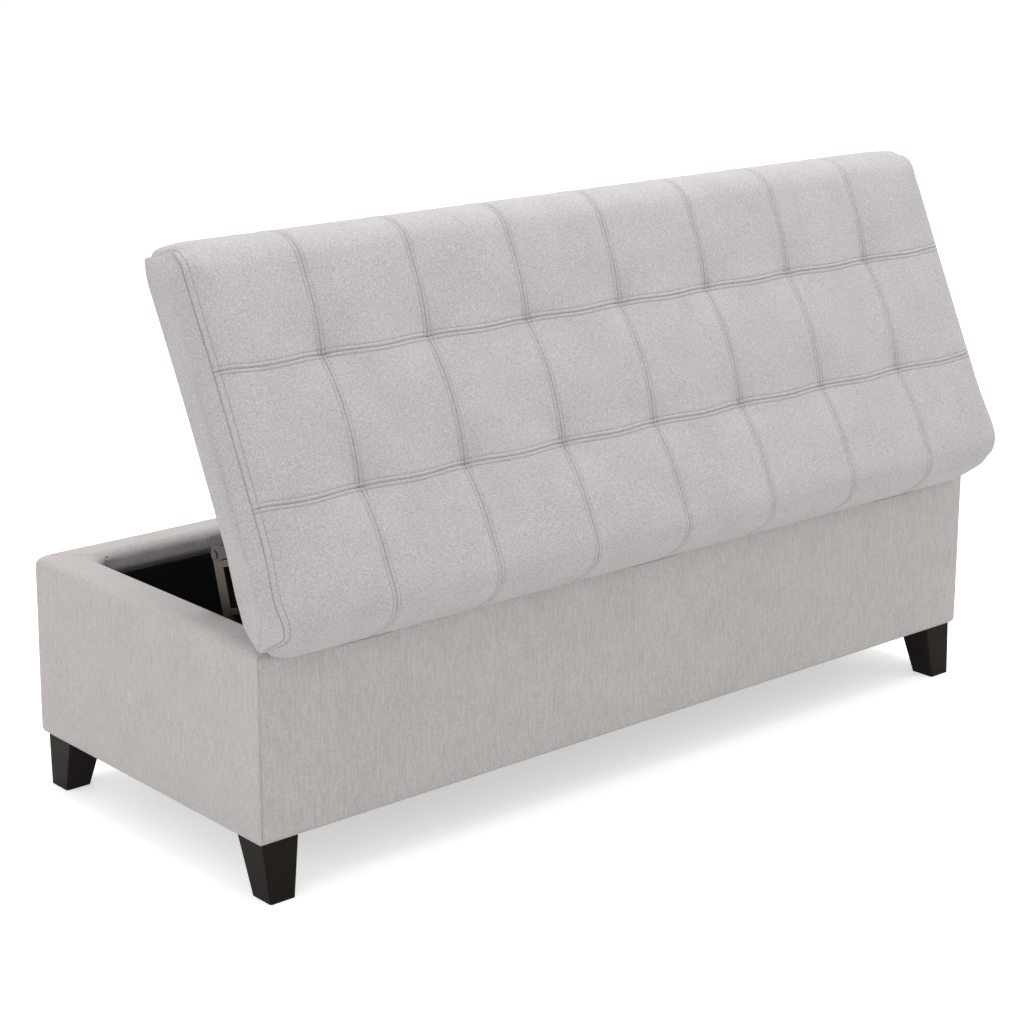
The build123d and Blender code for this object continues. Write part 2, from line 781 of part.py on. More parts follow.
with BuildPart() as stay_pivots:
    for side in (-1, 1):
        plate = arm_plane(side, wall_plate)
        shaft = channel_at + rivet_clearance - wall_plate
        disc(plate, (0, 0), rivet_radius, side * shaft)
        disc(plate, (0, 0), rivet_head_radius, side * (arm_at - rivet_clearance - wall_plate))
        head = arm_plane(side, channel_at + rivet_clearance)
        disc(head, (0, 0), rivet_head_radius, side * rivet_head)
save(stay_pivots, "stay_pivot_rivets")

with BuildPart() as lid_pivots:
    for side in (-1, 1):
        ear_plane = lid_section(side * (inner_x - arm_at))
        place = (lid_pivot_back, -lid_pivot_drop)
        reach = link + arm_gap + fit_gap
        disc(ear_plane, place, rivet_radius, -side * reach)
        head = lid_section(side * (inner_x - arm_at + reach))
        disc(head, place, ear_radius - fit_gap, -side * (link_gap - 2 * fit_gap))
save(lid_pivots, "lid_pivot_rivets")

with BuildPart() as stay_base_screws:
    for side in (-1, 1):
        screw_bodies(plate_face(side), plate_screw_points(side))
save(stay_base_screws, "stay_base_screws")

with BuildPart() as stay_lid_screws:
    screw_bodies(bracket_face, bracket_points)
save(stay_lid_screws, "stay_lid_screws")
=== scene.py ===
"""Looks of an upholstered storage bench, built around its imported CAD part.

Metres. +Z is up, +X runs along the bench and -Y is the side that opens. MM is one
millimetre.
"""
import json
import math

import bpy
import numpy as np
from bpy.props import FloatProperty, IntProperty, PointerProperty, StringProperty
from mathutils import Matrix, Vector


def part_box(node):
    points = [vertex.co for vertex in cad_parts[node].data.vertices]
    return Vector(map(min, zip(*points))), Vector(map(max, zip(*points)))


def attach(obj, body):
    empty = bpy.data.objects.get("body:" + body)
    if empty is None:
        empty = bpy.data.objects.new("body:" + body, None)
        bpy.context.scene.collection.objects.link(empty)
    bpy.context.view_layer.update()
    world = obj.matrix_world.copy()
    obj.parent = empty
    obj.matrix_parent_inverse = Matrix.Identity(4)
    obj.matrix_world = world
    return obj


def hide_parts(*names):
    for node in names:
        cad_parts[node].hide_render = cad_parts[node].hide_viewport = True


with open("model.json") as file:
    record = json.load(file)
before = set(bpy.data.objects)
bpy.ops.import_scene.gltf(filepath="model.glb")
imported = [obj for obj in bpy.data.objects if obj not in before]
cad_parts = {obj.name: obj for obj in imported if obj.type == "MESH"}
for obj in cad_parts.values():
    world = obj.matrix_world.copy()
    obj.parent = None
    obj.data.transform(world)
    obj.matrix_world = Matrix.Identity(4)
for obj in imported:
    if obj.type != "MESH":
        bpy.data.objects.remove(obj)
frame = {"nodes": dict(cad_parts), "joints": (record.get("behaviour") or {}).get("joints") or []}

bl_info = {
    "name": "Upholstered storage bench",
    "version": (1, 0, 0),
    "blender": (4, 5, 0),
    "location": "View3D > Sidebar > Bench",
    "description": "Covers, cushions, finishes and studio for a storage bench frame",
    "category": "Object",
}

MM = 0.001
SIDES = ("left", "right")
WALLS = ("front", "back", "left", "right")
HINGES = ("left", "middle", "right")

# The lid turns on its hinges from shut, where its sizes are read, to open, where it is shown.
LID_HINGE = next(joint for joint in frame["joints"] if joint["name"] == "lid_hinge")
HINGE_PLACE = Vector(LID_HINGE["pos_m"])
OPEN_ANGLE = math.radians(-LID_HINGE["range_deg"][0])
OPEN_TURN = Matrix.Rotation(OPEN_ANGLE, 4, LID_HINGE["axis"])
OPEN_LID = Matrix.Translation(HINGE_PLACE) @ OPEN_TURN @ Matrix.Translation(-HINGE_PLACE)


def shut_box(node):
    """Lowest and highest corner of a lid node with the lid shut, in metres."""
    shut = OPEN_LID.inverted()
    corners = np.array([shut @ vertex.co for vertex in frame["nodes"][node].data.vertices])
    return corners.min(axis=0), corners.max(axis=0)


LID_LOW, LID_HIGH = shut_box("lid_cover")
BOX_LOW, BOX_HIGH = (np.array(corner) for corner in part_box("base_cover"))
HINGE_CENTRES = [
    (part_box(f"{name}_hinge_base_leaf")[0].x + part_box(f"{name}_hinge_base_leaf")[1].x) / 2
    for name in HINGES
]
HINGE_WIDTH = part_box("left_hinge_base_leaf")[1].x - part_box("left_hinge_base_leaf")[0].x
RETURN_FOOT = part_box("back_lining")[1].z
WALL_INSIDE = BOX_HIGH[1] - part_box("back_lining")[0].y


def linear(code):
    """A hex colour as the linear red, green, blue and alpha that shaders take."""
    channels = [int(code[place:place + 2], 16) / 255 for place in (1, 3, 5)]
    bent = [c / 12.92 if c <= 0.04045 else ((c + 0.055) / 1.055) ** 2.4 for c in channels]
    return (*bent, 1.0)


def length(name, description, default):
    """A size that a user may change."""
    return FloatProperty(name=name, description=description, default=default, unit="LENGTH")


def colour(name, description, default):
    """A colour that a user may change, as an sRGB hex value."""
    return StringProperty(name=name, description=description, default=default)


class BenchSizes(bpy.types.PropertyGroup):
    """Sizes of what is sewn and padded."""

    pillow_columns: IntProperty(
        name="Pillow columns", description="Pillows along the lid", default=8, min=2, max=12
    )
    pillow_row: length("Pillow row", "Distance between the two lengthwise seams", 166 * MM)
    seam_depth: length("Seam depth", "How far the seams lie below the pillows", 3 * MM)
    tuft_depth: length("Tuft depth", "How far the tufts are pulled into the lid", 17 * MM)
    swell: length("Swell", "How far a pillow's fullest point rises from its seams", 8 * MM)
    loft: length("Loft", "How far the filling lifts the lid above its plain block", 14.5 * MM)
    row_shift: length("Row shift", "How far the tufts lie towards the free side", 4.5 * MM)
    topstitch: length("Topstitch", "Distance from a seam to its topstitching", 5.2 * MM)
    end_topstitch: length("End topstitch", "The same distance at an end seam", 8.5 * MM)
    stitch: length("Stitch", "Length of one stitch and the gap after it", 4 * MM)
    thread: length("Thread", "Thickness of the sewing thread", 0.8 * MM)


class BenchColours(bpy.types.PropertyGroup):
    """Colours of the finishes, as sRGB hex."""

    lid_light: colour("Lid light", "Light yarn of the lid's cover", "#CAC6C7")
    lid_dark: colour("Lid dark", "Dark yarn of the lid's cover", "#AEAAAB")
    # The box's yarns are the lid's fabric made warmer: painted warm light bounced from the floor
    # onto the walls.
    box_light_with_painted_bounce: colour("Box light", "Light yarn of the box's cover", "#C9C4C2")
    box_dark_with_painted_bounce: colour("Box dark", "Dark yarn of the box's cover", "#B3AEAC")
    thread: colour("Thread", "Sewing thread", "#9A9696")
    legs: colour("Legs", "Lacquer of the legs", "#231E18")
    lining: colour("Lining", "Black lining cloth", "#17171A")
    timber: colour("Timber", "Rails and posts", "#C8A87A")
    plywood: colour("Plywood", "Boards", "#B99468")
    zinc: colour("Zinc", "Zinc-plated parts", "#B9BABB")
    gunmetal: colour("Gunmetal", "Stay arms", "#57534B")
    painted: colour("Painted", "Dark stay parts", "#2A1D19")
    spring: colour("Spring", "Oiled spring wire", "#33342F")
    floor: colour("Floor", "Studio floor", "#F4F4F3")


# Materials
def add_node(tree, kind, inputs=None, **settings):
    """Adds a shader node with its settings, and sets or links its inputs."""
    node = tree.nodes.new("ShaderNode" + kind)
    for name, value in settings.items():
        setattr(node, name, value)
    for socket, value in (inputs or {}).items():
        if isinstance(value, bpy.types.NodeSocket):
            tree.links.new(value, node.inputs[socket])
        else:
            node.inputs[socket].default_value = value
    return node


def new_material(name):
    """An empty node material and its tree."""
    material = bpy.data.materials.new(name)
    material.use_nodes = True
    material.node_tree.nodes.clear()
    return material, material.node_tree


def finish_surface(tree, inputs):
    """Ends a material in one Principled surface with these inputs."""
    surface = add_node(tree, "BsdfPrincipled", inputs)
    add_node(tree, "OutputMaterial", {"Surface": surface.outputs["BSDF"]})


def woven_linen_polyester(name, dark, light, turn, streaks_long):
    """Linen-look polyester, plain woven from slubbed two-tone yarn: matt, with streaks
    of these lengths along the threads, a dry grain and a faint bloom at grazing angles."""
    material, tree = new_material(name)
    place = add_node(tree, "TexCoord").outputs["Object"]
    # The yarns keep to the cloth where it is turned with the lid.
    square = add_node(
        tree, "Mapping", {"Vector": place, "Rotation": (turn, 0, 0)}
    ).outputs["Vector"]
    # Yarn is 0.5 mm across in the cloth. It is drawn 1.2 mm across, so that it shows.
    across = 1 / (1.2 * MM)
    streaks = None
    for axis, streak_long in enumerate(streaks_long):
        scale = [across] * 3
        scale[axis] = 1 / streak_long
        yarn_place = add_node(
            tree, "Mapping", {"Vector": square, "Scale": scale}
        ).outputs["Vector"]
        yarn = add_node(
            tree, "TexNoise",
            {"Vector": yarn_place, "Scale": 1.0, "Detail": 1.0, "Roughness": 0.5},
        ).outputs["Fac"]
        if streaks is None:
            streaks = yarn
        else:
            streaks = add_node(tree, "Math", {0: streaks, 1: yarn}, operation="ADD").outputs[0]
    # A slow change of shade over 60 mm, as hand-cut panels of one roll have.
    slow = add_node(
        tree, "TexNoise", {"Vector": square, "Scale": 1 / (60 * MM), "Detail": 1.0}
    ).outputs["Fac"]
    shade = add_node(
        tree, "Math", {0: slow, 1: 0.25, 2: streaks}, operation="MULTIPLY_ADD"
    ).outputs[0]
    # The three patterns together lie mostly between these two values.
    yarn_mix = add_node(
        tree, "MapRange", {"Value": shade, "From Min": 1.36, "From Max": 1.89}
    ).outputs["Result"]
    mixed = {"Factor": yarn_mix, "A": linear(dark), "B": linear(light)}
    mix = add_node(tree, "Mix", mixed, data_type="RGBA")
    bump = add_node(
        tree, "Bump", {"Strength": 0.35, "Distance": 0.5 * MM, "Height": streaks}
    ).outputs["Normal"]
    finish_surface(tree, {
        "Base Color": mix.outputs["Result"],
        "Roughness": 0.92,
        "Specular IOR Level": 0.2,
        "Sheen Weight": 0.12,
        "Sheen Roughness": 0.5,
        "Normal": bump,
    })
    return material


def darker(code, share):
    """A hex colour dimmed to a share of its light."""
    return tuple(share * channel for channel in linear(code)[:3]) + (1.0,)


NOISE = ("TexNoise", "Fac")
CELLS = ("TexVoronoi", "Distance")


def patterned(name, pattern, settings, relief, surface, stretch=None, blend=None):
    """A finish with one pattern, which stands out by a strength and a height. It may be
    stretched, and may blend a dark and a light colour."""
    material, tree = new_material(name)
    place = add_node(tree, "TexCoord").outputs["Object"]
    if stretch:
        place = add_node(
            tree, "Mapping", {"Vector": place, "Scale": stretch}
        ).outputs["Vector"]
    kind, output = pattern
    height = add_node(tree, kind, {"Vector": place, **settings}).outputs[output]
    bump = add_node(
        tree, "Bump", {"Strength": relief[0], "Distance": relief[1], "Height": height}
    )
    inputs = {"Normal": bump.outputs["Normal"], **surface}
    if blend:
        mixed = {"Factor": height, "A": blend[0], "B": blend[1]}
        mix = add_node(tree, "Mix", mixed, data_type="RGBA")
        inputs["Base Color"] = mix.outputs["Result"]
    finish_surface(tree, inputs)
    return material


def spun_polyester_thread(colours):
    """Bonded polyester sewing thread: soft sheen, slightly twisted."""
    return patterned(
        "spun polyester thread", NOISE, {"Scale": 1 / (0.6 * MM), "Detail": 1.0},
        (0.4, 0.1 * MM),
        {"Base Color": linear(colours.thread), "Roughness": 0.7, "Sheen Weight": 0.2},
    )


def sprayed_espresso_lacquer(colours):
    """Rubberwood sprayed with espresso lacquer: near black, satin, the grain just showing."""
    # Its pores are about 0.3 mm wide and 12 mm long. They are drawn 1 mm by 25 mm to show.
    return patterned(
        "sprayed espresso lacquer on rubberwood", NOISE,
        {"Scale": 1.0, "Detail": 3.0, "Roughness": 0.6}, (0.15, 0.1 * MM),
        {"Roughness": 0.45, "Specular IOR Level": 0.06},
        stretch=(1 / (1 * MM), 1 / (1 * MM), 1 / (25 * MM)),
        blend=(linear("#120F0B"), linear(colours.legs)),
    )


def sawn_wood(name, code, grain_width):
    """Sawn softwood or plywood, unfinished: dry, with long straight grain."""
    return patterned(
        name, NOISE, {"Scale": 1.0, "Detail": 4.0, "Distortion": 0.4}, (0.3, 0.2 * MM),
        {"Roughness": 0.75}, stretch=(1 / (80 * MM), 1 / grain_width, 1 / grain_width),
        blend=(darker(code, 0.62), linear(code)),
    )


def spunbond_black_cloth(colours):
    """Black spunbond polypropylene, pressed with small dots: dull, faintly pitted."""
    # The pressed dots are 1.6 mm apart.
    return patterned(
        "spunbond black cloth", CELLS, {"Scale": 1 / (1.6 * MM)}, (0.3, 0.2 * MM),
        {"Roughness": 0.85, "Specular IOR Level": 0.2},
        blend=(linear("#0D0D0F"), linear(colours.lining)),
    )


def baked_dark_paint(colours):
    """Dark brown baked paint over steel: satin, with a fine orange peel."""
    return patterned(
        "baked dark paint on steel", NOISE, {"Scale": 1 / (1.2 * MM), "Detail": 1.0},
        (0.15, 0.1 * MM), {"Base Color": linear(colours.painted), "Roughness": 0.4},
    )


def metal(name, code, roughness, patch):
    """Steel under a thin finish, with cloudy patches of more and less gloss."""
    material, tree = new_material(name)
    place = add_node(tree, "TexCoord").outputs["Object"]
    cloud = add_node(
        tree, "TexNoise", {"Vector": place, "Scale": 1 / patch, "Detail": 4.0}
    ).outputs["Fac"]
    gloss = add_node(
        tree, "MapRange",
        {"Value": cloud, "To Min": roughness - 0.08, "To Max": roughness + 0.1},
    ).outputs["Result"]
    mixed = {"Factor": cloud, "A": darker(code, 0.75), "B": linear(code)}
    mix = add_node(tree, "Mix", mixed, data_type="RGBA")
    finish_surface(tree, {
        "Base Color": mix.outputs["Result"], "Metallic": 1.0, "Roughness": gloss,
    })
    return material


def paint(material, *nodes):
    """Gives CAD nodes their finish."""
    for name in nodes:
        piece = frame["nodes"][name]
        piece.data.materials.clear()
        piece.data.materials.append(material)


# Shapes
def smooth_step(value):
    """0 below 0, 1 above 1, and smooth between."""
    share = np.clip(value, 0.0, 1.0)
    return share * share * (3 - 2 * share)


def hollow(distance, width):
    """1 on a line and falling to 0 a few widths away from it."""
    return np.exp(-((distance / width) ** 2))


def unit(vectors):
    """Vectors made 1 long."""
    return vectors / np.maximum(np.linalg.norm(vectors, axis=-1, keepdims=True), 1e-12)


def running_length(path):
    """How far along a path each of its points lies."""
    steps = np.linalg.norm(np.diff(path, axis=0), axis=1)
    return np.concatenate([[0], np.cumsum(steps)])


def on_path(places, lengths, path):
    """What a path has at places along it, between its points at these lengths."""
    return np.stack([np.interp(places, lengths, column) for column in path.T], -1)


def grid_faces(rows, columns, wrap):
    """Quads between the points of a grid, whose last column may join the first."""
    row = np.arange(rows - 1)[:, None]
    column = np.arange(columns if wrap else columns - 1)[None, :]
    after = (column + 1) % columns
    corners = [row * columns + column, row * columns + after]
    corners += [(row + 1) * columns + after, (row + 1) * columns + column]
    return np.stack([corner + 0 * row + 0 * column for corner in corners], -1).reshape(-1, 4)


def new_mesh_object(name, points, faces, material):
    """A smooth-shaded mesh object in the scene."""
    mesh = bpy.data.meshes.new(name)
    mesh.from_pydata(np.asarray(points).reshape(-1, 3).tolist(), [], [list(f) for f in faces])
    mesh.update()
    mesh.validate()
    mesh.shade_smooth()
    mesh.materials.append(material)
    piece = bpy.data.objects.new(name, mesh)
    bpy.context.scene.collection.objects.link(piece)
    return piece


def cubic_weights(share):
    """Weights of the four grid points around a place, for a smooth curve through them."""
    return np.stack([
        -0.5 * share + share**2 - 0.5 * share**3,
        1 - 2.5 * share**2 + 1.5 * share**3,
        0.5 * share + 2 * share**2 - 1.5 * share**3,
        -0.5 * share**2 + 0.5 * share**3,
    ], -1)


def neighbours(places, count, wrap):
    """The four grid lines around each place, and their weights."""
    first = np.floor(places).astype(int)
    lines = first[:, None] + np.arange(-1, 3)
    lines = lines % count if wrap else np.clip(lines, 0, count - 1)
    return lines, cubic_weights(places - first)


def sample(grid, along, around):
    """Points of a grid of points at paired places, in grid lines."""
    rows, row_weights = neighbours(along, grid.shape[0], False)
    columns, column_weights = neighbours(around, grid.shape[1], True)
    near = grid[rows[:, :, None], columns[:, None, :]]
    return np.einsum("pi,pj,pijc->pc", row_weights, column_weights, near)


def rounded_path(corners, radii, step):
    """Points along straight runs between corners, each corner rounded by its radius."""
    path = [np.array(corners[0], float)]
    for before, corner, after, radius in zip(corners, corners[1:], corners[2:], radii):
        corner = np.array(corner, float)
        inward = unit(before - corner)
        outward = unit(after - corner)
        half = math.acos(np.clip(inward @ outward, -1, 1)) / 2
        centre = corner + unit(inward + outward) * radius / math.sin(half)
        start = corner + inward * radius / math.tan(half) - centre
        end = corner + outward * radius / math.tan(half) - centre
        turn = math.pi - 2 * half
        for share in np.linspace(0, 1, max(2, int(radius * turn / step))):
            blend = (math.sin((1 - share) * turn) * start + math.sin(share * turn) * end)
            path.append(centre + blend / math.sin(turn))
    path.append(np.array(corners[-1], float))
    return np.array(path)


def even_lines(marks, spacing):
    """Lines through every mark, spaced evenly and about spacing apart between them."""
    lines = [marks[0]]
    for start, end in zip(marks, marks[1:]):
        count = max(1, round((end - start) / spacing))
        lines += list(np.linspace(start, end, count + 1)[1:])
    return np.array(lines)


def seam_lines(lines, seams, topstitch):
    """Lines with extra ones beside each seam, for its groove and topstitching."""
    near = [0.0, 0.7 * MM, 1.5 * MM, 3 * MM]
    near += [topstitch + step for step in (-0.9 * MM, 0.0, 0.9 * MM, 2 * MM)]
    kept = [line for line in lines if min(abs(line - seam) for seam in seams) > near[-1] + MM]
    for seam in seams:
        kept += [seam + side * step for side in (-1, 1) for step in near]
    return np.unique(np.round(np.array(kept), 6))


def stitch_thread(name, rows, sizes, material):
    """One mesh of short thread loops along rows of points, each with its own normals."""
    points = []
    faces = []
    radius = sizes.thread / 2
    showing = 0.72 * sizes.stitch
    # A loop's four square sections: where along it, how thick and how high they lie.
    sections = [(-0.5, 0.2, -0.5), (-0.3, 1.0, 0.3), (0.3, 1.0, 0.3), (0.5, 0.2, -0.5)]
    angles = [math.pi / 4 + corner * math.pi / 2 for corner in range(4)]
    for places, normals in rows:
        lengths = running_length(places)
        for turn in range(int(lengths[-1] / sizes.stitch)):
            at = (turn + 0.5) * sizes.stitch
            centre, ahead = on_path([at, at + MM], lengths, places)
            up = unit(on_path(at, lengths, normals))
            forward = unit(ahead - centre)
            side = np.cross(forward, up)
            first = len(points)
            for share, width, lift in sections:
                middle = centre + forward * share * showing + up * lift * radius
                for angle in angles:
                    out = side * math.cos(angle) + up * math.sin(angle)
                    points.append(middle + out * width * radius)
            for start in (first, first + 4, first + 8):
                for corner in range(4):
                    here = start + corner
                    after = start + (corner + 1) % 4
                    faces.append((here, after, after + 4, here + 4))
            faces.append((first + 3, first + 2, first + 1, first))
            faces.append(tuple(range(first + 12, first + 16)))
    return new_mesh_object(name, points, faces, material)


# The lid's cushion and cover
class LidForm:
    """The shut lid's upholstered block as a grid: along it, and around its section."""

    extra_length = 5 * MM
    crown = 20 * MM
    slope = 9 * MM
    edge_radii = (34 * MM, 36 * MM)
    edge_run = 30 * MM
    plan_corner = 24 * MM
    hinge_fullness = 1.5 * MM
    seam_hang = 4 * MM
    # The free side is fuller, and flares over its last part of the depth.
    free_fullness = 9 * MM
    free_flare = 3 * MM
    free_part = 0.4
    # The ends turn in over a radius and are full. Their flat sides turn in less.
    end_radius = 35 * MM
    end_turn = math.radians(50)
    end_side = 0.4
    end_fullness = 4 * MM
    end_bulge = 5 * MM
    end_bulge_run = 100 * MM
    end_run = 50 * MM
    # The sewing's pull fades from a tuft by a power, and is less at the long sides. These
    # shares of it, and of the long sides' fullness, are left at the ends.
    pull_power = 2.2
    side_loss = 0.75
    depth_at_end = 0.15
    hinge_fullness_at_end = 0.3
    free_fullness_at_end = 0.35
    # The heel is the corner at the hinges: tucked in, lifted, and full beside it.
    heel_run = 45 * MM
    heel_tuck = 6 * MM
    heel_tuck_width = 35 * MM
    heel_rise = 8 * MM
    heel_rise_width = 60 * MM
    heel_bulge = 6.5 * MM
    heel_bulge_place = 55 * MM
    heel_bulge_width = 45 * MM

    def __init__(self, sizes):
        self.sizes = sizes
        self.length = LID_HIGH[0] - LID_LOW[0] + self.extra_length
        self.depth = LID_HIGH[1] - LID_LOW[1]
        self.height = LID_HIGH[2] - LID_LOW[2] + sizes.loft
        top = self.height - self.crown
        corners = [(0, 0), (self.slope, top), (self.depth - self.slope, top), (self.depth, 0)]
        self.path = rounded_path(np.array(corners), self.edge_radii, MM)
        across = (self.path[:, 0] - self.depth / 2) / (self.depth / 2 - self.slope)
        on_top = self.path[:, 1] > top / 2
        self.path[:, 1] += self.crown * np.clip(1 - across**2, 0, 1) * on_top
        self.path_lengths = running_length(self.path)
        self.upper = self.path_lengths[-1]
        self.around = self.upper + self.depth
        middle = self.upper / 2 + sizes.row_shift
        self.rows = [middle - sizes.pillow_row / 2, middle + sizes.pillow_row / 2]
        self.pitch = self.length / sizes.pillow_columns
        half = sizes.pillow_columns / 2
        self.columns = [(k - half) * self.pitch for k in range(1, sizes.pillow_columns)]
        self.straight = self.length / 2 - self.end_radius
        self.end_seam = self.straight + self.end_radius * self.end_turn
        # The end panels close to a ridge. The filling is worked out over most of them.
        self.panel_depth = 0.92 * self.height / 2
        self.ridge = self.end_seam + 0.995 * self.height / 2

    def section(self, around):
        """Places across the lid at distances around its section."""
        places = on_path(around, self.path_lengths, self.path)
        places[..., 0] -= np.clip(around - self.upper, 0, None)
        return places

    def outward(self, around):
        """Directions out of the section."""
        step = 0.5 * MM
        run = unit(self.section(around + step) - self.section(around - step))
        return np.stack([-run[..., 1], run[..., 0]], -1)

    def surface(self, along, around):
        """Points of the plain block at distances along it and around its section."""
        beyond = np.abs(along) - self.straight
        turn = np.clip(beyond / self.end_radius, 0, self.end_turn)
        panel = np.clip(np.abs(along) - self.end_seam, 0, None) / (self.height / 2)
        straight = np.minimum(np.abs(along), self.straight)
        lost = self.end_radius * (1 - math.sin(self.end_turn))
        rounded = straight + self.end_radius * np.sin(turn) + lost * smooth_step(1.2 * panel)
        square = straight + self.end_radius * turn / self.end_turn
        turned = smooth_step(np.minimum(around, self.upper - around) / self.edge_run)
        x = square + (rounded - square) * turned
        near_end = smooth_step(beyond / self.pitch + 1)
        x = x + self.end_fullness * near_end
        around = around - self.hang(along, around) * (np.abs(along) < self.end_seam)
        flat = self.section(around)
        # The foam's sides are cut squarer than its top edge.
        out = self.outward(np.clip(around, MM, self.upper - MM))
        out[around > self.upper] = (0, 0)
        less = self.end_side + (1 - self.end_side) * out[..., 1] ** 2
        inset = self.end_radius * (1 - np.cos(turn)) * less
        middle = self.depth / 2
        under = middle + (flat[..., 0] - middle) * (1 - inset / middle)
        below = np.stack([under, flat[..., 1]], -1)
        above = flat - inset[..., None] * out
        flat = np.where((around < self.upper)[..., None], above, below)
        spine = np.stack([
            np.clip(flat[..., 0], self.height / 2, self.depth - self.height / 2),
            np.full(flat.shape[:-1], self.height / 2),
        ], -1)
        flat = flat + (spine - flat) * panel[..., None]
        inward = smooth_step((middle - np.abs(flat[..., 0] - middle)) / self.end_bulge_run)
        x = x + self.end_bulge * inward * np.sin(math.pi / 2 * np.clip(panel, 0, 1))
        heel = hollow(flat[..., 0] - self.heel_bulge_place, self.heel_bulge_width)
        x = x + self.heel_bulge * (heel * near_end)
        free = smooth_step((flat[..., 0] / self.depth - 1 + self.free_part) / self.free_part)
        x = x + self.free_flare * free * near_end
        rise = smooth_step((x - self.length / 2) / self.heel_run + 1)
        x = x - self.heel_tuck * rise * hollow(flat[..., 0], self.heel_tuck_width)
        flat[..., 0] += self.heel_rise * rise * hollow(flat[..., 0], self.heel_rise_width)
        x, flat[..., 0] = self.round_corners(x, flat[..., 0])
        y = LID_HIGH[1] - flat[..., 0]
        z = LID_LOW[2] + flat[..., 1]
        return np.stack([x * np.sign(along), y, z], -1)

    def round_corners(self, x, v):
        """The plan with its four corners rounded."""
        radius = self.plan_corner
        long = self.length / 2 + self.end_fullness - radius
        deep = self.depth / 2 - radius
        side = v - self.depth / 2
        out = np.clip((x - long) / radius, 0, None)
        over = np.clip((np.abs(side) - deep) / radius, 0, None)
        most = np.maximum(out, over)
        share = most / np.maximum(np.hypot(out, over), 1e-9)
        x = np.where(out > 0, long + radius * out * share, x)
        side = np.where(over > 0, np.sign(side) * (deep + radius * over * share), side)
        return x, side + self.depth / 2

    def hang(self, along, around):
        """How far the lengthwise seams hang towards the hinges between the tufts."""
        column, row = self.to_seams(along, around)
        between = np.sin(math.pi * column / self.pitch) ** 2
        return self.seam_hang * between * hollow(row, self.sizes.pillow_row / 4)

    def to_seams(self, along, around):
        """Distances to the nearest cross seam and lengthwise seam."""
        column = np.min([np.abs(along - seam) for seam in self.columns], axis=0)
        row = np.min([np.abs(around - seam) for seam in self.rows], axis=0)
        return column, row

    def sewn_depth(self, along, around):
        """How far the sewn cover lies below the plain block before it is filled."""
        column, row = self.to_seams(along, around)
        tuft = np.hypot(column, row)
        deep = self.sizes.tuft_depth - self.sizes.seam_depth
        pull = np.clip(1 - tuft / (self.sizes.pillow_row / 2), 0, 1) ** self.pull_power
        depth = self.sizes.seam_depth + deep * pull
        turned = self.sizes.pillow_row / 2
        hinge_side = 1 - smooth_step(around / turned)
        free_side = 1 - smooth_step((self.upper - around) / turned)
        ends = smooth_step((self.end_seam - np.abs(along)) / self.end_run)

        def fading(least):
            """1 on the lid, down to the least share at its ends."""
            return least + (1 - least) * ends

        depth = depth * (1 - self.side_loss * (hinge_side + free_side))
        depth = depth * fading(self.depth_at_end)
        fullness = self.hinge_fullness * hinge_side * fading(self.hinge_fullness_at_end)
        free = self.free_fullness * free_side * fading(self.free_fullness_at_end)
        fullness = fullness + free
        panel = np.clip((np.abs(along) - self.end_seam) / self.panel_depth, 0, 1)
        depth = depth - fullness * (1 - panel)
        return depth * (around <= self.upper)

    def needlework(self, along, around):
        """Height of the seam grooves and topstitching on the filled cover."""
        topstitch = self.sizes.topstitch
        upper = (around > 0) & (around < self.upper)
        height = np.zeros(np.broadcast(along, around).shape)
        column, row = self.to_seams(along, around)
        end = np.abs(np.abs(along) - self.end_seam)
        inside = np.abs(along) < self.end_seam
        seams = [(column, upper, topstitch), (row, inside, topstitch)]
        seams.append((end, upper, self.sizes.end_topstitch))
        width = 0.8 * MM
        for distance, where, topstitch in seams:
            # The seam's groove, the stitches' groove, and the raised strip between them.
            groove = -1.9 * MM * hollow(distance, width)
            groove = groove - 0.9 * MM * hollow(distance - topstitch, width)
            groove = groove + 0.7 * MM * hollow(distance - topstitch / 2, 0.3 * topstitch)
            height = height + groove * where
        return height


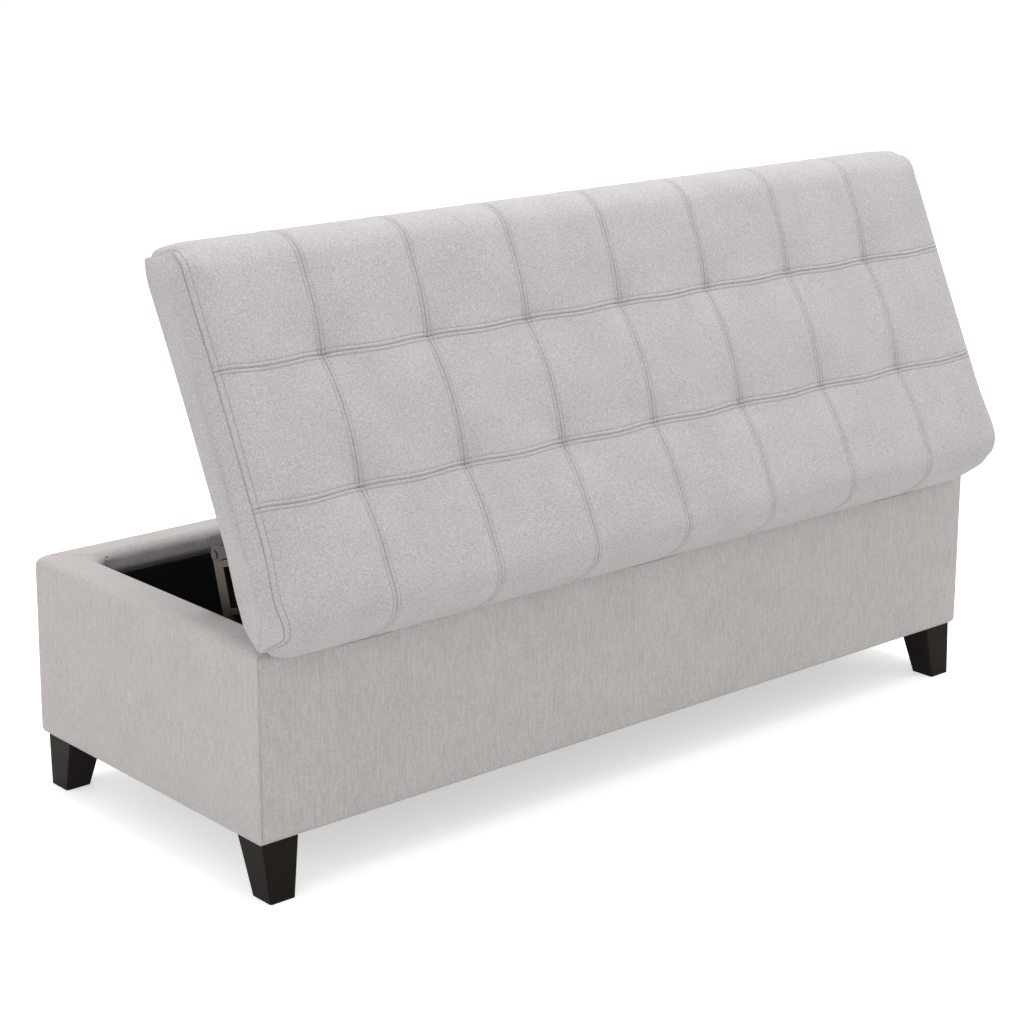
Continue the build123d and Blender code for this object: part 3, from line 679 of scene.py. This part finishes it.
def swell_cloth(form, along_lines, around_lines):
    """The sewn cover filled by cloth pressure, held at its seams, tufts and underside."""
    along, around = np.meshgrid(along_lines, around_lines, indexing="ij")
    points = form.surface(along, around)
    turned_out = form.outward(np.clip(around, MM, form.upper - MM))
    outward = np.zeros_like(points)
    outward[..., 1] = -turned_out[..., 0]
    outward[..., 2] = turned_out[..., 1]
    start = points - outward * form.sewn_depth(along, around)[..., None]
    faces = list(map(tuple, grid_faces(*along.shape, wrap=True)))
    columns = along.shape[1]
    faces.append(tuple(range(columns))[::-1])
    last = along.size - columns
    faces.append(tuple(last + k for k in range(columns)))
    piece = new_mesh_object("lid filling", start, faces, bpy.data.materials.new("filling"))
    column, row = form.to_seams(along, around)
    touch = 0.1 * MM
    under = (around >= form.upper - touch) | (around <= touch)
    under &= np.abs(along) < form.end_seam
    held = under | (column < touch) | ((row < touch) & (np.abs(along) < form.end_seam))
    held |= np.abs(np.abs(along) - form.end_seam) < touch
    group = piece.vertex_groups.new(name="held")
    group.add(np.flatnonzero(held.ravel()).tolist(), 1.0, "REPLACE")
    cloth = piece.modifiers.new("Filling", "CLOTH").settings
    cloth.quality = 6
    cloth.mass = 0.2
    cloth.tension_stiffness = 20
    cloth.compression_stiffness = 20
    cloth.shear_stiffness = 8
    cloth.bending_stiffness = 0.5
    cloth.use_pressure = True
    cloth.uniform_pressure_force = 4
    cloth.vertex_group_mass = "held"
    cloth.effector_weights.gravity = 0
    scene = bpy.context.scene
    last_frame = 20
    for step in range(1, last_frame + 1):
        scene.frame_set(step)
    filled = piece.evaluated_get(bpy.context.evaluated_depsgraph_get())
    flat = np.empty(3 * len(filled.data.vertices))
    filled.data.vertices.foreach_get("co", flat)
    scene.frame_set(1)
    bpy.data.objects.remove(piece)
    # The swell is set by all but the fullest hundredth, which is held back to a limit.
    limit = 1.3
    moved = flat.reshape(start.shape) - start
    size = np.linalg.norm(moved, axis=-1)
    most = np.percentile(size[around < form.upper], 99)
    print("lid filling rose by", round(most / MM, 2), "mm before it was scaled")
    moved *= form.sizes.swell / most
    size = np.linalg.norm(moved, axis=-1, keepdims=True)
    moved *= np.minimum(1, limit * form.sizes.swell / np.maximum(size, 1e-9))
    return start + moved


def close_slit(start, place):
    """Triangles that zip up a ring which has closed to a slit, from its lowest place on."""
    count = len(place)
    behind = int(np.argmin(place))
    ahead = (behind + 1) % count
    faces = []
    for _ in range(count - 2):
        next_ahead = (ahead + 1) % count
        next_behind = (behind - 1) % count
        forward = place[next_ahead] < place[next_behind]
        corner = next_ahead if forward else next_behind
        faces.append((start + behind, start + ahead, start + corner))
        if forward:
            ahead = next_ahead
        else:
            behind = next_behind
    return faces


def sew_lid(sizes, fabric, thread):
    """The lid's tufted cushion and its stitching."""
    form = LidForm(sizes)
    coarse = 12.5 * MM
    edge = 4 * MM
    turns = np.linspace(0, form.end_turn, 5)[1:-1] * form.end_radius
    marks = [-form.straight] + form.columns + [form.straight]
    panel = form.end_seam + np.linspace(0, form.panel_depth, 5)
    ends = np.concatenate([form.straight + turns, panel])
    along_lines = np.concatenate([-ends[::-1], even_lines(marks, coarse), ends])
    upper = even_lines([0] + form.rows + [form.upper], coarse)
    under = np.concatenate([[edge], np.linspace(0, form.depth, 20)[1:-1], [form.depth - edge]])
    around_lines = np.concatenate([
        [0, edge], upper[1:-1], [form.upper - edge], upper[-1:], form.upper + under,
    ])
    filled = swell_cloth(form, along_lines, around_lines)

    def on_panel(along):
        """0 on the lid and 1 on its end panels."""
        return smooth_step((np.abs(along) - form.end_seam) / (12 * MM))

    def grid_place(along, around):
        """Distances turned into grid lines."""
        rows = np.interp(along, along_lines, np.arange(len(along_lines)))
        closed = np.append(around_lines, form.around)
        columns = np.interp(np.mod(around, form.around), closed, np.arange(len(closed)))
        return rows, columns

    def cover_points(along, around):
        """Points on the finished cover and their outward directions."""
        shape = np.broadcast(along, around).shape
        along = np.broadcast_to(along, shape).ravel()
        around = np.broadcast_to(around, shape).ravel()
        points, ahead, behind, above, below = (
            sample(filled, *grid_place(along + on, around + up))
            for on, up in ((0, 0), (MM, 0), (-MM, 0), (0, MM), (0, -MM))
        )
        normal = unit(np.cross(above - below, ahead - behind))
        # The end panels lie flat and full, without the cloth's loose middle.
        points = points + (form.surface(along, around) - points) * on_panel(along)[:, None]
        points = points + normal * form.needlework(along, around)[:, None]
        return points.reshape(*shape, 3), normal.reshape(*shape, 3)

    # The finished cover has finer lines, closest beside its seams and at its borders.
    close = 4.5 * MM
    arc = form.straight + form.end_radius * np.linspace(0, form.end_turn, 8)[1:]
    edge = form.end_seam + np.array([0.7, 1.5, 3, 6, 10, 16, 24, 30]) * MM
    edge = np.append(edge[edge < form.ridge - MM], form.ridge)
    fine = np.concatenate([-edge[::-1], -arc[::-1], even_lines(marks, close), arc, edge])
    fine = seam_lines(fine, form.columns, sizes.topstitch)
    beside = [0.7 * MM, 1.5 * MM, 4 * MM]
    beside += [sizes.end_topstitch + step for step in (-MM, 0, MM, 2 * MM)]
    extra = form.end_seam - np.array(beside)
    fine = np.unique(np.round(np.concatenate([fine, extra, -extra]), 6))
    rows = even_lines([0] + form.rows + [form.upper], close)
    rows = seam_lines(rows, form.rows, sizes.topstitch)
    border = 40 * MM
    below = [step * MM for step in (0.5, 2, 10, 20, 30, 39)] + [border, border + MM]
    below += list(np.linspace(border + 40 * MM, form.depth / 2, 4))
    below = np.array(below + [form.depth - step for step in below[:-1][::-1]])
    rows = np.concatenate([rows, form.upper + below])
    along, around = np.meshgrid(fine, rows, indexing="ij")
    points, normals = cover_points(along, around)
    # The underside stands back from the lining panel, which is tacked over its middle.
    under = around > form.upper
    v = LID_HIGH[1] - points[..., 1]
    middle = under & (v > border + 0.5 * MM) & (v < form.depth - border - 0.5 * MM)
    middle &= np.abs(points[..., 0]) < LID_HIGH[0] - border
    points[..., 2] = np.where(under & (np.abs(along) <= form.straight), LID_LOW[2], points[..., 2])
    points[..., 2] += np.where(middle, 1.3 * MM, 0)
    # Each end panel is one smooth sheet, so its fullness is evened out around the section.
    even = points[..., 0]
    passes = 40
    for _ in range(passes):
        even = (np.roll(even, 1, 1) + 2 * even + np.roll(even, -1, 1)) / 4
    points[..., 0] += (even - points[..., 0]) * on_panel(along)
    faces = [tuple(face) for face in grid_faces(*along.shape, wrap=True)]
    faces += [face[::-1] for face in close_slit(0, points[0, :, 1])]
    faces += close_slit(along.size - along.shape[1], points[-1, :, 1])
    cushion = new_mesh_object("lid_tufted_cushion", points, faces, fabric)
    cushion.data.transform(OPEN_LID)

    both = (-1, 1)
    across = np.linspace(2 * MM, form.upper - 2 * MM, 400)
    lengthwise = np.linspace(-form.end_seam + 8 * MM, form.end_seam - 8 * MM, 900)
    beside = sizes.topstitch
    places = [(seam + side * beside, across) for seam in form.columns for side in both]
    places += [(lengthwise, seam + side * beside) for seam in form.rows for side in both]
    places += [(side * (form.end_seam - sizes.end_topstitch), across) for side in both]
    rows_of_stitches = [cover_points(*place) for place in places]
    stitches = stitch_thread("lid_topstitching", rows_of_stitches, sizes, thread)
    stitches.data.transform(OPEN_LID)
    return cushion, stitches


# The box's cover
class BoxForm:
    """The upholstered box as a grid: around its outline, and up over its rim."""

    half = BOX_HIGH[:2]
    foot = BOX_LOW[2]
    top = BOX_HIGH[2]
    inside = WALL_INSIDE - MM
    corner = 9 * MM
    inner_corner = 24 * MM
    sewn_corner = 1.2 * MM
    least_corner = 2 * MM
    # Lines this near a corner shift with it as the outline is set in.
    fixed = 75 * MM
    rim_radius = 14 * MM
    hem_radius = 7 * MM
    hem_width = 28 * MM
    hem_drop = 2 * MM
    end_fullness = 4.5 * MM
    pleat = 60 * MM
    mitre_depth = 2 * MM
    mitre_width = 4 * MM
    pucker_depth = 0.5 * MM
    # The crown stays under the shut lid: it is let down, and rises in the middle in waves.
    crown = 0.7 * MM
    crown_wave = 0.2 * MM
    notch_foot = HINGE_PLACE.z - 1.9 * MM
    notch_edge = HINGE_WIDTH / 2 + 1.5 * MM
    notch_depth = 6.8 * MM

    def __init__(self, sizes):
        self.sizes = sizes

    def corner_radius(self, inset, sharp):
        """The radius of a corner of the outline that is set in by inset."""
        if sharp and inset < self.inside / 2:
            return self.sewn_corner
        inner = self.inner_corner * smooth_step(inset / self.inside * 3 - 2)
        return max(self.corner - inset, self.least_corner) + inner

    def ring(self, inset, stations):
        """The outline set in by inset, at its stations: a side or corner, and a place."""
        points = []
        for kind, index, place in stations:
            along = self.half[index % 2]
            out = self.half[(index + 1) % 2] - inset
            if kind == "side":
                sharp = index == (0 if place > 0 else 3)
                outer = self.sewn_corner if sharp else self.corner
                end = inset + self.corner_radius(inset, sharp)
                fixed = along - self.fixed
                reach = abs(place)
                if reach > fixed:
                    share = (reach - fixed) / (along - outer - fixed)
                    reach = fixed + share * (along - end - fixed)
                local = (math.copysign(reach, place), out)
            else:
                radius = self.corner_radius(inset, index == 3)
                centre = (-(along - inset - radius), out - radius)
                angle = place * math.pi / 2
                local = (
                    centre[0] - radius * math.sin(angle),
                    centre[1] + radius * math.cos(angle),
                )
            points.append(self.turned(local, index))
        return np.array(points)

    @staticmethod
    def turned(local, index):
        """A side's own along and out, as x and y: back, -X end, front, +X end."""
        run, out = local
        return [(run, out), (-out, run), (-run, -out), (out, -run)][index]

    def stations(self):
        """Sides and corners in turn, with the lines that seams and hinges need."""
        stations = []
        for index in range(4):
            along = self.half[index % 2]
            start = along - (self.sewn_corner if index == 0 else self.corner)
            end = along - (self.sewn_corner if index == 3 else self.corner)
            marks = [-end, start]
            if index == 0:
                edges = [self.notch_edge + step * MM for step in (0, 0.8, 3)]
                marks += [x + side * e for x in HINGE_CENTRES for side in (-1, 1) for e in edges]
                marks += [start - step * MM for step in (0.8, 2, 4, 5, 6, 7, 9, 12)]
            if index == 3:
                marks += [-end + step * MM for step in (0.8, 2, 4, 8, 12)]
            lines = even_lines(sorted(marks), 8 * MM)
            stations += [("side", index, line) for line in lines[::-1]]
            turns = np.linspace(0, 1, 8)[1:-1]
            stations += [("corner", index, share) for share in turns]
        return stations

    def profile(self):
        """Inset and height from the hem, over the rim, to the foot of the inner return."""
        hem = self.foot - self.hem_drop
        corners = [
            (self.hem_width, hem), (0, hem), (0, self.top),
            (self.inside, self.top), (self.inside, RETURN_FOOT),
        ]
        radii = [self.hem_radius, self.rim_radius, self.rim_radius]
        path = rounded_path(np.array(corners), radii, 2.5 * MM)
        length = running_length(path)
        marks = list(length)
        outer = (path[:, 0] < 0.01 * MM) & (path[:, 1] < self.top)
        for below in (0, 0.8, 3):
            height = self.notch_foot - below * MM
            marks.append(float(np.interp(height, path[outer, 1], length[outer])))
        return on_path(even_lines(sorted(marks), 12 * MM), length, path)


def cover_box(sizes, fabric, thread):
    """The box's fitted cover and the stitching beside its seamed corner."""
    form = BoxForm(sizes)
    stations = form.stations()
    profile = form.profile()
    points = np.stack([
        np.insert(form.ring(inset, stations), 2, height, axis=1) for inset, height in profile
    ])
    points = ease_cover(points, profile, form)
    # Pockets for the hinges, pressed in as far as the wood.
    pocket_back = BOX_HIGH[1] - form.notch_depth
    for x in HINGE_CENTRES:
        pocket = np.abs(points[..., 0] - x) < form.notch_edge + 0.1 * MM
        pocket &= points[..., 2] > form.notch_foot - 0.1 * MM
        pocket &= points[..., 1] > pocket_back
        points[..., 1] = np.where(pocket, pocket_back, points[..., 1])
    faces = grid_faces(*points.shape[:2], wrap=True)
    cover = new_mesh_object("box_fitted_cover", points, faces, fabric)
    thick = cover.modifiers.new("Cloth thickness", "SOLIDIFY")
    thick.thickness = 1 * MM
    thick.offset = -1
    apply_modifiers(cover)
    # The row of stitches runs from above the hem to below the rim, just inside the corner.
    z = np.linspace(form.foot + 4 * MM, form.top - 20 * MM, 120)
    place = BOX_HIGH[0] + form.end_fullness - 2.5 * MM
    row = np.stack([np.full_like(z, place), np.full_like(z, BOX_HIGH[1]), z], -1)
    backwards = np.tile([0.0, 1.0, 0.0], (len(z), 1))
    stitches = stitch_thread("box_corner_stitching", [(row, backwards)], sizes, thread)
    return cover, stitches


def ease_cover(points, profile, form):
    """Hand-fitted ease: full ends, a soft crown on the rim, mitred corners and puckers."""
    inset = profile[:, 0][:, None]
    height = profile[:, 1][:, None]
    x = points[..., 0].copy()
    y = points[..., 1].copy()
    across = np.clip(inset / form.inside, 0, 1)
    full = form.end_fullness * smooth_step((np.abs(x) - form.half[0]) / form.pleat + 1)
    full = full * (1.5 - 0.5 * smooth_step((height - form.foot) / (form.top - form.foot)))
    points[..., 0] += np.sign(x) * full * (1 - smooth_step(1.5 * across))
    on_rim = smooth_step((height - form.top + 22 * MM) / (20 * MM))
    run = x + y
    wave = np.sin(run / (47 * MM)) + 0.6 * np.sin(run / (29 * MM) + 1.3)
    arch = np.sin(math.pi * across)
    points[..., 2] += on_rim * (arch * (form.crown + form.crown_wave * wave) - form.crown)
    mitre = np.abs((form.half[0] - np.abs(x)) - (form.half[1] - np.abs(y))) / math.sqrt(2)
    points[..., 2] -= on_rim * np.sqrt(arch) * form.mitre_depth * hollow(mitre, form.mitre_width)
    # The cloth is stapled out of sight, which puckers the return below the rim.
    pucker = np.sin(run / (5.5 * MM)) * (0.6 + 0.4 * np.sin(run / (31 * MM)))
    pucker += 0.7 * np.sin(run / (9 * MM) + 2)
    returned = (inset > form.inside - 0.1 * MM) * smooth_step((height - RETURN_FOOT) / (15 * MM))
    push = form.pucker_depth * pucker * returned
    on_end = form.half[0] - np.abs(x) < form.half[1] - np.abs(y)
    points[..., 0] -= np.where(on_end, np.sign(x) * push, 0)
    points[..., 1] -= np.where(on_end, 0, np.sign(y) * push)
    stitch_line = hollow(BOX_HIGH[0] - form.sizes.topstitch - x, MM)
    back = (np.abs(y - BOX_HIGH[1]) < 0.1 * MM) & (x > 0)
    points[..., 1] -= np.where(back, 0.5 * MM * stitch_line, 0)
    return points


def apply_modifiers(piece):
    """Replaces a piece's mesh by what its modifiers make of it."""
    evaluated = piece.evaluated_get(bpy.context.evaluated_depsgraph_get())
    mesh = bpy.data.meshes.new_from_object(evaluated)
    piece.modifiers.clear()
    piece.data = mesh


# Operators
class BENCH_OT_box_cover(bpy.types.Operator):
    """Fits the fabric cover over the box and its padded rim"""

    bl_idname = "bench.box_cover"
    bl_label = "Box cover"

    def execute(self, context):
        scene = context.scene
        # The walls show long upright slubs, the lid hardly any.
        slubs = (2.5 * MM, 2.5 * MM, 15 * MM)
        colours = scene.bench_colours
        # The box's colours carry painted warm bounce light from the floor, so the walls come out
        # warmer than the lid.
        fabric = woven_linen_polyester(
            "woven linen polyester", colours.box_dark_with_painted_bounce, colours.box_light_with_painted_bounce, 0, slubs
        )
        thread = spun_polyester_thread(colours)
        cover, stitches = cover_box(scene.bench_sizes, fabric, thread)
        for piece in (cover, stitches):
            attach(piece, "box")
        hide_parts("base_cover", "wall_padding", "rim_padding")
        return {"FINISHED"}


class BENCH_OT_lid_cushion(bpy.types.Operator):
    """Sews, fills and tufts the lid's cushion"""

    bl_idname = "bench.lid_cushion"
    bl_label = "Lid cushion"

    def execute(self, context):
        scene = context.scene
        slubs = (3 * MM, 3 * MM, 3 * MM)
        colours = scene.bench_colours
        fabric = woven_linen_polyester(
            "woven linen polyester on the lid", colours.lid_dark, colours.lid_light, OPEN_ANGLE,
            slubs,
        )
        thread = bpy.data.materials["spun polyester thread"]
        cushion, stitches = sew_lid(scene.bench_sizes, fabric, thread)
        for piece in (cushion, stitches):
            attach(piece, "lid")
        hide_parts("lid_cushion", "lid_cover")
        return {"FINISHED"}


class BENCH_OT_woodwork(bpy.types.Operator):
    """Finishes the hidden boards, rails and posts"""

    bl_idname = "bench.woodwork"
    bl_label = "Woodwork"

    def execute(self, context):
        colours = context.scene.bench_colours
        plywood = sawn_wood("sanded poplar plywood", colours.plywood, 3 * MM)
        timber = sawn_wood("planed pine", colours.timber, 5 * MM)
        paint(plywood, *[f"{wall}_board" for wall in WALLS], "bottom_board", "lid_board")
        paint(timber, *[f"{wall}_rail" for wall in WALLS], "corner_posts")
        return {"FINISHED"}


class BENCH_OT_linings(bpy.types.Operator):
    """Finishes the black linings of the compartment, the lid and the underside"""

    bl_idname = "bench.linings"
    bl_label = "Linings"

    def execute(self, context):
        cloth = spunbond_black_cloth(context.scene.bench_colours)
        paint(cloth, *[f"{wall}_lining" for wall in WALLS])
        paint(cloth, "floor_lining", "dust_cover", "lid_lining")
        return {"FINISHED"}


class BENCH_OT_legs(bpy.types.Operator):
    """Lacquers the four legs"""

    bl_idname = "bench.legs"
    bl_label = "Legs"

    def execute(self, context):
        lacquer = sprayed_espresso_lacquer(context.scene.bench_colours)
        paint(lacquer, *[f"{end}_{side}_leg" for end in ("front", "back") for side in SIDES])
        return {"FINISHED"}


class BENCH_OT_metalwork(bpy.types.Operator):
    """Finishes the hinges, the stays, the springs and the fixings"""

    bl_idname = "bench.metalwork"
    bl_label = "Metalwork"

    def execute(self, context):
        colours = context.scene.bench_colours
        # Bright zinc plating has small cloudy patches of more and less gloss.
        zinc = metal("bright zinc plated steel", colours.zinc, 0.32, 9 * MM)
        # Oiled spring wire is darker and has drawn streaks too fine to show.
        wire = metal("oiled spring wire", colours.spring, 0.4, 3 * MM)
        # Smoked plating over brushed steel is dull and brownish.
        smoked = metal("brushed gunmetal plated steel", colours.gunmetal, 0.42, 12 * MM)
        dark = baked_dark_paint(colours)
        leaves = [f"{name}_hinge_{leaf}_leaf" for name in HINGES for leaf in ("base", "lid")]
        paint(zinc, *leaves, "hinge_pins", "hinge_base_screws", "hinge_lid_screws", "leg_bolts")
        paint(zinc, "stay_pivot_rivets", "lid_pivot_rivets", "stay_base_screws", "stay_lid_screws")
        for side in SIDES:
            paint(smoked, f"{side}_stay_channel", f"{side}_stay_arm")
            paint(dark, f"{side}_stay_plate", f"{side}_stay_link", f"{side}_stay_elbow_rivet")
            paint(dark, f"{side}_lid_bracket")
            paint(wire, f"{side}_stay_spring", f"{side}_stay_spring_rod")
        return {"FINISHED"}


class BENCH_OT_stage(bpy.types.Operator):
    """Sets the floor, the light, the backdrop and the camera"""

    bl_idname = "bench.stage"
    bl_label = "Stage"

    def execute(self, context):
        scene = context.scene
        scene.view_settings.view_transform = "Standard"
        lay_floor(scene)
        light_studio(scene)
        place_camera(scene)
        return {"FINISHED"}


def seen_directly(tree):
    """1 for rays from the camera, and for what mirrors and glass show of it."""
    path = add_node(tree, "LightPath").outputs
    sharp = add_node(
        tree, "Math", {0: path["Is Camera Ray"], 1: path["Is Glossy Ray"]}, operation="MAXIMUM"
    ).outputs[0]
    return add_node(
        tree, "Math", {0: sharp, 1: path["Is Transmission Ray"]}, operation="MAXIMUM"
    ).outputs[0]


def lay_floor(scene):
    """A plain pale floor that runs out to the backdrop and keeps the bench's shadow."""
    far = 12.0
    corners = [(-far, -far, 0), (far, -far, 0), (far, far, 0), (-far, far, 0)]
    material, tree = new_material("matt white studio vinyl")
    seen = seen_directly(tree)
    # The floor's own light lifts its shaded vinyl to the backdrop's white.
    glow = add_node(tree, "Math", {0: seen, 1: 0.53}, operation="MULTIPLY").outputs[0]
    finish_surface(tree, {
        "Base Color": linear(scene.bench_colours.floor),
        "Roughness": 0.9,
        "Specular IOR Level": 0.0,
        "Emission Color": (1.0, 1.0, 1.0, 1.0),
        "Emission Strength": glow,
    })
    floor = new_mesh_object("studio_floor", corners, [(0, 1, 2, 3)], material)


def light_studio(scene):
    """Soft even light: a white room, a large lamp overhead, and a low one at either side."""
    world = bpy.data.worlds.new("white room")
    scene.world = world
    world.use_nodes = True
    tree = world.node_tree
    tree.nodes.clear()
    seen = seen_directly(tree)
    # The room looks white, at a strength of 1, and lights the bench with less.
    strength = add_node(
        tree, "MapRange", {"Value": seen, "To Min": 0.76, "To Max": 1.0}
    ).outputs["Result"]
    white = (1.0, 1.0, 1.0, 1.0)
    room = add_node(tree, "Background", {"Color": white, "Strength": strength})
    add_node(tree, "OutputWorld", {"Surface": room.outputs["Background"]})
    # Each lamp's place, width and power in watts. All aim at the bench's middle.
    middle = Vector((0, 0, 0.35))
    lamps = [
        ("overhead", (-0.4, 0.0, 3.2), 2.6, 52),
        ("fill", (-3.0, 2.0, 1.4), 2.0, 5),
        ("side", (3.6, -0.2, 1.6), 2.0, 13),
    ]
    for name, place, width, power in lamps:
        light = bpy.data.lights.new(name, "AREA")
        light.size = width
        light.energy = power
        lamp = bpy.data.objects.new(name, light)
        lamp.location = place
        lamp.rotation_euler = (middle - Vector(place)).to_track_quat("-Z", "Y").to_euler()
        scene.collection.objects.link(lamp)


def place_camera(scene):
    """A long lens from the hinge side, a little above the open lid."""
    data = bpy.data.cameras.new("camera")
    data.lens = 85.7
    camera = bpy.data.objects.new("camera", data)
    turn = Matrix.Rotation(math.radians(138.853), 4, "Z")
    tilt = Matrix.Rotation(math.radians(73.788), 4, "X")
    roll = Matrix.Rotation(math.radians(0.258), 4, "Z")
    camera.matrix_world = Matrix.Translation((2.2025, 2.4843, 1.2859)) @ turn @ tilt @ roll
    scene.collection.objects.link(camera)
    scene.camera = camera


class BENCH_PT_panel(bpy.types.Panel):
    """Lists the bench's sizes, colours and steps"""

    bl_idname = "BENCH_PT_panel"
    bl_label = "Storage bench"
    bl_space_type = "VIEW_3D"
    bl_region_type = "UI"
    bl_category = "Bench"

    def draw(self, context):
        for group in (context.scene.bench_sizes, context.scene.bench_colours):
            for name in group.__annotations__:
                self.layout.prop(group, name)
        for step in STEPS:
            self.layout.operator(step.bl_idname)


STEPS = (
    BENCH_OT_box_cover,
    BENCH_OT_lid_cushion,
    BENCH_OT_woodwork,
    BENCH_OT_linings,
    BENCH_OT_legs,
    BENCH_OT_metalwork,
    BENCH_OT_stage,
)
CLASSES = (BenchSizes, BenchColours, *STEPS, BENCH_PT_panel)


def register():
    """Adds the classes and the scene's settings."""
    for item in CLASSES:
        bpy.utils.register_class(item)
    bpy.types.Scene.bench_sizes = PointerProperty(type=BenchSizes)
    bpy.types.Scene.bench_colours = PointerProperty(type=BenchColours)


def unregister():
    """Takes the classes and the scene's settings away."""
    del bpy.types.Scene.bench_colours
    del bpy.types.Scene.bench_sizes
    for item in reversed(CLASSES):
        bpy.utils.unregister_class(item)


def main():
    """Builds the whole scene."""
    for name in ("Cube", "Light", "Camera"):
        if name in bpy.data.objects:
            bpy.data.objects.remove(bpy.data.objects[name])
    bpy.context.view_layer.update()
    register()
    bpy.ops.bench.box_cover()
    bpy.ops.bench.lid_cushion()
    bpy.ops.bench.woodwork()
    bpy.ops.bench.linings()
    bpy.ops.bench.legs()
    bpy.ops.bench.metalwork()
    bpy.ops.bench.stage()


if __name__ == "__main__":
    main()
